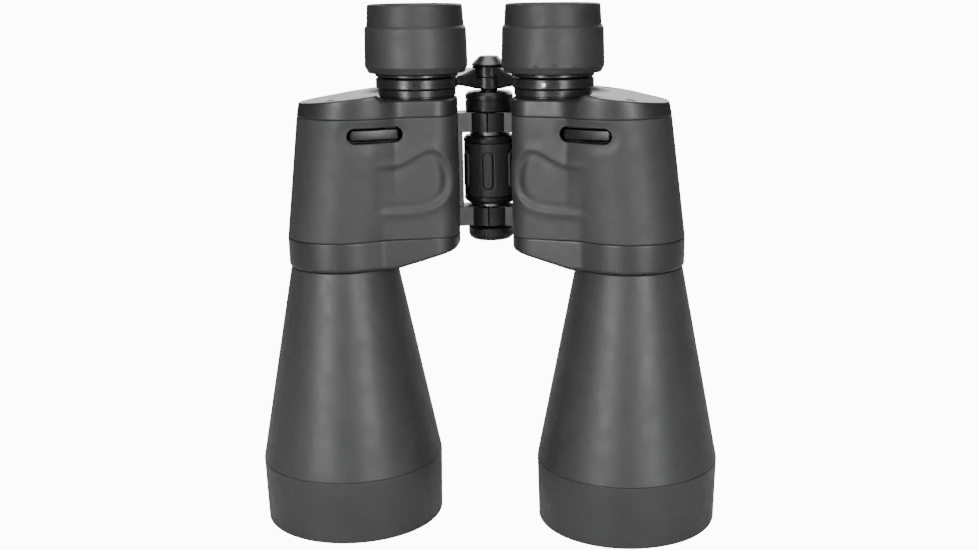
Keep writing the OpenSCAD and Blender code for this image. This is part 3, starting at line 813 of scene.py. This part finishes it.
def make_hinge():
    low, high = box_mm("hinge_collar")
    r = (high[0] - low[0]) / 2
    lathe("collar", [
        (6.02, low[2], 0), (r - 0.4, low[2], 0.2), (r, low[2] + 0.5, 0.2), (r, low[2] + 4.6, 0.1),
        (r - 0.35, low[2] + 4.8, 0.05), (r - 0.35, low[2] + 5.2, 0.05), (r, low[2] + 5.4, 0.1),
        (r, high[2] - 1.3, 0.5), (r - 1.3, high[2], 0.4), (4.4, high[2], 0.2), (4.4, high[2] - 0.3, 0),
        (6.02, high[2] - 0.3, 0)], HINGE, "left_half", ANODISED, ["hinge_collar"])
    make_tripod_cap()
    low, high = box_mm("screw_cap")
    r = (high[0] - low[0]) / 2
    lathe("cone_cap", [
        (3.22, low[2], 0), (r, low[2], 0.1), (r, low[2] + 0.5, 0.15), (4.1, high[2], 0.5),
        (1.4, high[2], 0.1), (1.1, high[2] - 0.5, 0.1), (0, high[2] - 0.5, 0), (0, high[2] - 1.3, 0),
        (3.22, high[2] - 1.3, 0)],
        HINGE, "left_ocular", GREY_ANODISED, ["screw_cap"])
    make_lead_screw()


def make_tripod_cap():
    """Threaded plug with a knurled edge and a shallow dish in its face."""
    low, high = box_mm("tripod_cap")
    r = (high[0] - low[0]) / 2
    outline = [(0, low[2] + 0.25), (5.2, low[2] + 0.25), (5.6, low[2]), (r - 1.9, low[2]),
               (r - 0.6, low[2] + 1.0), (r - 0.05, low[2] + 2.4), (r - 0.05, high[2] - 8.3),
               (r - 0.5, high[2] - 7.85)]
    profile = round_corners(outline + [(3.1, high[2] - 7.8)], [0, 0.1, 0.1, 0.6, 0.6, 0.3, 0.2, 0.2, 0])
    z = high[2] - 7.4
    while z < high[2] - 1.2:
        profile += [(2.98, z), (2.55, z + 0.32), (2.55, z + 0.42), (2.98, z + 0.74), (2.98, z + 0.95)]
        z += 1.27
    profile += [(2.98, high[2] - 0.5), (2.5, high[2]), (0, high[2])]
    segments = 240
    verts, faces = lathe_mesh(profile, HINGE, segments)
    verts = np.array(verts)
    away = verts[:, :2] - HINGE
    dist = np.hypot(away[:, 0], away[:, 1])
    angle = np.arctan2(away[:, 1], away[:, 0])
    band = (step_between(verts[:, 2], low[2] + 1.4, low[2] + 2.2)
            * step_between(-verts[:, 2], 8.3 - high[2], 8.9 - high[2]))
    knurl = np.where(dist > r - 0.3, -0.28 * band * (0.5 + 0.5 * np.cos(angle * 48)), 0)
    verts[:, :2] += away / np.maximum(dist, 1e-6)[:, None] * knurl[:, None]
    add_piece("socket_plug", verts, faces, "tripod_cap", ANODISED, ["tripod_cap"])


HUB_LOW, HUB_MIDDLE, HUB_HIGH = 193.2, 198.2, 203.2


def make_lead_screw():
    """Multi-start screw: the flanks of its thread wind up the shaft."""
    low, high = box_mm("lead_screw")
    r = (high[0] - low[0]) / 2
    segments, starts, lead = 96, 4, 6.4
    rows = [(r * 0.8, low[2])]
    z = low[2] + 0.4
    while z < HUB_LOW - 0.6:
        rows.append((r, z))
        z += 0.16
    rows += [(r - 0.8, HUB_LOW), (r - 0.8, high[2] - 0.3), (r - 1.1, high[2])]
    profile = [(0, low[2])] + rows + [(0, high[2])]
    verts, faces = lathe_mesh(profile, HINGE, segments)
    verts = np.array(verts)
    away = verts[:, :2] - HINGE
    dist = np.hypot(away[:, 0], away[:, 1])
    angle = np.arctan2(away[:, 1], away[:, 0])
    wave = np.cos(starts * (angle - TURN * verts[:, 2] / lead))
    cut = np.where(np.abs(dist - r) < 0.01, -0.42 * step_between(wave, -0.35, 0.45), 0)
    verts[:, :2] += away / np.maximum(dist, 1e-6)[:, None] * cut[:, None]
    add_piece("screw_shaft", verts, faces, "left_ocular", GREY_ANODISED, ["lead_screw"])


def make_focus_wheel():
    low, high = box_mm("focus_wheel")
    r = (high[0] - low[0]) / 2
    z0, z1 = low[2], high[2]
    outline = [(4.06, z0, 0.2), (r - 1.3, z0, 0.3), (r, z0 + 1.3, 0.25), (r, z0 + 2.7, 0.08),
               (r - 0.45, z0 + 2.75, 0.05), (r - 0.45, z0 + 3.25, 0), (r - 1.8, z0 + 3.25, 0),
               (r - 1.8, z1 - 3.25, 0), (r - 0.45, z1 - 3.25, 0), (r - 0.45, z1 - 2.75, 0.05),
               (r, z1 - 2.7, 0.08), (r, z1 - 1.3, 0.25), (r - 1.3, z1, 0.3), (4.06, z1, 0.2)]
    lathe("wheel_core", outline, HINGE, "focus_knob", ANODISED, ["focus_wheel"],
          segments=200)
    make_wheel_grip(z0 + 3.3, z1 - 3.3, r)


RIB_WIDTH, RIB_HEIGHT, RIB_RISE, RIBS = 4.6, 16.6, 0.62, 6


def make_wheel_grip(z0, z1, r):
    """Rubber sleeve with raised round-ended ribs."""
    segments, rows = 540, 84
    inner = r - 1.75
    middle = (z0 + z1) / 2
    angles = np.arange(segments) * TURN / segments
    face = r - 0.1
    pitch = TURN / RIBS
    front = -math.pi / 2
    off = (angles - front + pitch / 2) % pitch - pitch / 2
    across = off * face
    ribbed = list(np.linspace(z0 + 0.5, z1 - 0.5, rows))
    heights = [z0, z0, z0 + 0.08, z0 + 0.25] + ribbed + [z1 - 0.25, z1 - 0.08, z1, z1]
    radii = [inner, face - 0.3, face - 0.1, face] + [face] * rows + [face, face - 0.1, face - 0.3, inner]
    points = []
    for z, radius in zip(heights, radii):
        straight = (RIB_HEIGHT - RIB_WIDTH) / 2
        gap = np.hypot(across, max(0.0, abs(z - middle) - straight)) - RIB_WIDTH / 2
        rise = RIB_RISE * step_between(-gap, -0.25, 0.55) - 0.07 * step_between(-gap, 0.6, 1.6)
        groove = -0.16 * np.exp(-((gap - 0.45) / 0.3) ** 2)
        ring = radius + (rise + groove if radius == face else 0)
        points.append(np.column_stack([HINGE[0] + ring * np.cos(angles), HINGE[1] + ring * np.sin(angles),
                                       np.full(segments, z)]))
    add_piece("wheel_sleeve", np.concatenate(points), band_faces(len(points), segments), "focus_knob",
              GRIP, ["focus_grip"])


# ---------------------------------------------------------------- bridge

BRIDGE_RING_R = 17.8
BEAM_START, BEAM_STOP, HUB_REACH = 6.2, 14.6, 8.4
BEAM_LOW, BEAM_HIGH = 195.35, 199.4


def make_bridge(name, side):
    """Casting from the hub on the lead screw to the collar round the ocular tube."""
    centre = on_side(EYEPIECE, side)
    body = f"{name}_ocular"
    replaced = [f"bridge_arm_{name}"]
    lower = side < 0
    span = (HUB_LOW, HUB_MIDDLE - 0.05) if lower else (HUB_MIDDLE + 0.05, HUB_HIGH)
    bore = 3.22 if lower else 3.26
    lathe(f"bridge_hub_{name}", [
        (bore, span[0], 0), (7.5, span[0], 0.35), (7.5, span[1], 0.12 if lower else 0.4), (bore, span[1], 0)],
        HINGE, body, ANODISED, replaced, segments=128)
    lathe(f"bridge_ring_{name}", [
        (12.02, 195.2, 0), (17.3, 195.2, 0.1), (BRIDGE_RING_R, 195.7, 0.3), (BRIDGE_RING_R, 199.2, 0.3),
        (17.4, 199.6, 0.15), (12.02, 199.6, 0)], centre, body, ANODISED, replaced,
        segments=200)
    away = centre - HINGE
    reach = float(np.linalg.norm(away))
    along = away / reach
    across = np.array([-along[1], along[0]])
    stations, corner = 26, 8
    rows = []
    for i in range(stations):
        t = i / (stations - 1)
        u = BEAM_START + (reach - BEAM_STOP - BEAM_START) * t
        ease = step_between(t, 0, 0.8)
        low_edge, high_edge = HUB_LOW + 0.3, HUB_HIGH - 0.4
        bottom = low_edge + (BEAM_LOW - low_edge) * ease
        top = high_edge + (BEAM_HIGH - high_edge) * ease
        if u < HUB_REACH:
            bottom = max(bottom, span[0])
            top = min(top, span[1])
        for v, z in section_ring(4.2 + 0.9 * ease, bottom, top, 1.3, corner):
            plan = HINGE + along * u + across * v
            rows.append((plan[0], plan[1], z))
    add_piece(f"bridge_beam_{name}", rows, swept_faces(stations, corner * 4), body,
              ANODISED, replaced)


def section_ring(half, bottom, top, radius, corner):
    """A rounded rectangle, as (across, height) points."""
    radius = min(radius, half, (top - bottom) / 2)
    ring = []
    for sx, sz, start in ((1, 1, 0), (-1, 1, 90), (-1, -1, 180), (1, -1, 270)):
        cx = sx * (half - radius)
        cz = (top - radius) if sz > 0 else (bottom + radius)
        for k in range(corner):
            a = math.radians(start + 90 * k / (corner - 1))
            ring.append((cx + radius * math.cos(a), cz + radius * math.sin(a)))
    return ring


# ---------------------------------------------------------------- small parts

def make_strap_bar(name, side):
    """Plated bar that bows out of its pocket a little, with rounded edges, on a pin through its ends."""
    length, thick, height = 21.8, 2.4, 5.2
    stations, corner = 40, 7
    rows = []
    for i in range(stations):
        t = -1 + 2 * i / (stations - 1)
        end = math.sqrt(max(0.0, 1 - max(0.0, (abs(t) - 0.9) / 0.1) ** 2 * 0.75))
        bow = -0.45 + 0.55 * t * t
        half = thick / 2 * (0.75 + 0.25 * end)
        for v, z in section_ring(half, -height / 2 * end, height / 2 * end, 1.0, corner):
            rows.append(in_pocket(t * length / 2, v + bow, z))
    body = f"{name}_half"
    add_piece(f"strap_plate_{name}", mirrored(rows, side), swept_faces(stations, corner * 4), body,
              CHROME, [f"strap_bar_{name}"])
    segments, pin_r, pin_reach, pin_behind = 24, 1.1, 13.6, 1.4
    pin = []
    for u in (-pin_reach, pin_reach):
        for k in range(segments):
            a = TURN * k / segments
            pin.append(in_pocket(u, pin_behind + pin_r * math.cos(a), pin_r * math.sin(a)))
    add_piece(f"strap_pin_{name}", mirrored(pin, side), swept_faces(2, segments), body, CHROME,
              [f"strap_bar_{name}"])


def disc_on_cylinder(name, centre, radius, angle, z, size, lift, body, material):
    """A small round mark that follows a vertical cylinder's surface."""
    rings, spokes = 5, 28
    verts = [(0.0, 0.0, lift)]
    for i in range(1, rings + 1):
        share = i / rings
        height = lift * math.sqrt(max(0.0, 1 - (share ** 4)))
        verts += [(size * share * math.cos(TURN * k / spokes),
                   size * share * math.sin(TURN * k / spokes), height) for k in range(spokes)]
    faces = [(0, 1 + k, 1 + (k + 1) % spokes) for k in range(spokes)]
    for i in range(rings - 1):
        a, b = 1 + i * spokes, 1 + (i + 1) * spokes
        faces += [(a + k, b + k, b + (k + 1) % spokes, a + (k + 1) % spokes) for k in range(spokes)]
    placed = []
    for u, v, w in verts:
        turn = angle + u / radius
        placed.append((centre[0] + (radius + w) * math.cos(turn),
                       centre[1] + (radius + w) * math.sin(turn), z + v))
    return add_piece(name, placed, faces, body, material)


def stroke_on_cone(name, centre, path, angle, z, width, lift, cone, body, material, closed=False):
    """A raised stroke that follows a turned surface; cone gives the radius at a height."""
    pts = [np.array(p, float) for p in path]
    count, corner = len(pts), 6
    verts, faces = [], []
    for i, point in enumerate(pts):
        ahead = pts[(i + 1) % count] if closed or i < count - 1 else point
        behind = pts[i - 1] if closed or i > 0 else point
        tangent = ahead - behind
        tangent /= np.linalg.norm(tangent)
        normal = np.array([-tangent[1], tangent[0]])
        for k in range(corner + 1):
            a = math.pi * k / corner
            spot = point + normal * width / 2 * math.cos(a)
            height = z + spot[1]
            radius = cone(height) + lift * math.sin(a) - 0.05
            turn = angle + spot[0] / cone(z)
            verts.append((centre[0] + radius * math.cos(turn), centre[1] + radius * math.sin(turn), height))
    m = corner + 1
    for i in range(count if closed else count - 1):
        j = (i + 1) % count
        faces += [(i * m + k, i * m + k + 1, j * m + k + 1, j * m + k) for k in range(corner)]
        faces.append((i * m + corner, i * m, j * m, j * m + corner))
    if not closed:
        faces += [tuple(range(m)), tuple(range(count * m - 1, (count - 1) * m - 1, -1))]
    return add_piece(name, verts, faces, body, material)


def make_marks():
    """The index dot on the bridge ring and the plus, zero and minus of the diopter ring."""
    centre = on_side(EYEPIECE, 1)
    front = -math.pi / 2
    disc_on_cylinder("index_dot", centre, BRIDGE_RING_R, front - math.radians(10.4), 197.4, 0.95, 0.06,
                     "right_ocular", WHITE_MARK)
    low, high = box_mm("diopter_ring_right")
    foot, r = low[2], (high[0] - low[0]) / 2

    def cone(z):
        rise = z - foot
        if rise < GRIP_FLARE:
            return GRIP_FOOT_R + (r - GRIP_FOOT_R) * rise / GRIP_FLARE
        return r - 0.03 * (rise - GRIP_FLARE)

    z = foot + 3.4
    zero = [(0.85 * math.cos(a), 0.85 * math.sin(a)) for a in np.arange(24) * TURN / 24]
    marks = {"plus_across": ([(-1.0, 0), (0, 0), (1.0, 0)], -16.5, False),
             "plus_up": ([(0, -1.0), (0, 0), (0, 1.0)], -16.5, False),
             "zero": (zero, 3.5, True),
             "minus": ([(-1.1, 0), (0, 0), (1.1, 0)], 25, False)}
    for mark, (path, degrees, closed) in marks.items():
        stroke_on_cone(f"diopter_{mark}", centre, path, front + math.radians(degrees), z, 0.5, 0.3, cone,
                       "diopter", GRIP, closed)


# ---------------------------------------------------------------- stage, light and camera

SHOWN_WHITE = 12.0


def shown_white(tree, lit, output):
    """Makes a surface or the surroundings look plain white, without adding light to the object."""
    glow = tree.nodes.new("ShaderNodeEmission")
    glow.inputs["Strength"].default_value = SHOWN_WHITE
    path = tree.nodes.new("ShaderNodeLightPath")
    mix = tree.nodes.new("ShaderNodeMixShader")
    tree.links.new(path.outputs["Is Camera Ray"], mix.inputs["Fac"])
    tree.links.new(lit, mix.inputs[1])
    tree.links.new(glow.outputs["Emission"], mix.inputs[2])
    tree.links.new(mix.outputs["Shader"], output)


def make_stage():
    mesh = bpy.data.meshes.new("floor")
    half = 6.0
    corners = [(-half, -half, 0), (half, -half, 0), (half, half, 0), (-half, half, 0)]
    mesh.from_pydata(corners, [], [(0, 1, 2, 3)])
    floor = bpy.data.objects.new("floor", mesh)
    bpy.context.scene.collection.objects.link(floor)
    material, tree, shader = node_tree("pale_floor")
    tree.links.new(colour_between(tree, noise(tree, 3, 2.0), (0.5, 0.5, 0.5), (0.53, 0.53, 0.53)),
                   shader.inputs["Base Color"])
    shader.inputs["Roughness"].default_value = 0.9
    shader.inputs["Specular IOR Level"].default_value = 0.1
    shown_white(tree, shader.outputs["BSDF"], tree.nodes["Material Output"].inputs["Surface"])
    floor.data.materials.append(material)
    floor.location.z = CAD_BOX[0].z - 0.0002


def area_light(name, place, target, size, energy):
    data = bpy.data.lights.new(name, "AREA")
    data.shape = "RECTANGLE"
    data.size, data.size_y = size
    data.energy = energy
    obj = bpy.data.objects.new(name, data)
    bpy.context.scene.collection.objects.link(obj)
    obj.location = place
    obj.rotation_mode = "QUATERNION"
    obj.rotation_quaternion = (Vector(target) - Vector(place)).to_track_quat("-Z", "Y")


def make_lights():
    target = (0, 0, 0.14)
    for name, azimuth, distance, height, size, energy in [
            ("strip_left", -30, 1.3, 0.42, (0.26, 1.3), 25),
            ("strip_right", 34, 1.3, 0.42, (0.26, 1.3), 23)]:
        a = math.radians(azimuth)
        place = (distance * math.sin(a), -distance * math.cos(a), height)
        area_light(name, place, target, size, energy)
    area_light("overhead", (0, -0.2, 1.5), target, (1.2, 1.0), 9)
    area_light("back_fill", (0, 1.4, 0.9), target, (1.6, 1.0), 22)
    world = bpy.data.worlds.new("studio")
    bpy.context.scene.world = world
    world.use_nodes = True
    tree = world.node_tree
    background = tree.nodes["Background"]
    background.inputs["Color"].default_value = (1, 1, 1, 1)
    background.inputs["Strength"].default_value = 0.035
    shown_white(tree, background.outputs["Background"], tree.nodes["World Output"].inputs["Surface"])


def make_camera():
    """Stands a little above the eyepieces, to the right, and looks down at the underside."""
    data = bpy.data.cameras.new("camera")
    camera = bpy.data.objects.new("camera", data)
    bpy.context.scene.collection.objects.link(camera)
    pitch, yaw, roll = math.radians(15.59), math.radians(-3.54), math.radians(-0.46)
    forward = Vector((math.sin(yaw) * math.cos(pitch), math.cos(yaw) * math.cos(pitch), -math.sin(pitch)))
    right = Vector((math.cos(yaw), -math.sin(yaw), 0))
    up = right.cross(forward)
    right_rolled = right * math.cos(roll) + up * math.sin(roll)
    up_rolled = up * math.cos(roll) - right * math.sin(roll)
    turn = Matrix((right_rolled, up_rolled, -forward)).transposed()
    place = (0.0537, -0.5416, 0.2421)
    camera.matrix_world = Matrix.Translation(place) @ turn.to_4x4()
    data.sensor_width = 36
    data.lens = 46.08
    data.shift_x = -0.0438
    data.shift_y = 0.0501
    bpy.context.scene.camera = camera


# ---------------------------------------------------------------- build

dress_cad_nodes()
for side_name, side_sign in SIDES.items():
    make_armor(side_name, side_sign)
    make_front_cover(side_name, side_sign)
    make_rear_cover(side_name, side_sign)
    make_barrels(side_name, side_sign)
    make_eyepieces(side_name, side_sign)
    make_bridge(side_name, side_sign)
    make_strap_bar(side_name, side_sign)
    bevelled(frame["nodes"][f"prism_housing_{side_name}"], 0.5)
make_hinge()
make_focus_wheel()
make_marks()
make_stage()
make_lights()
make_camera()
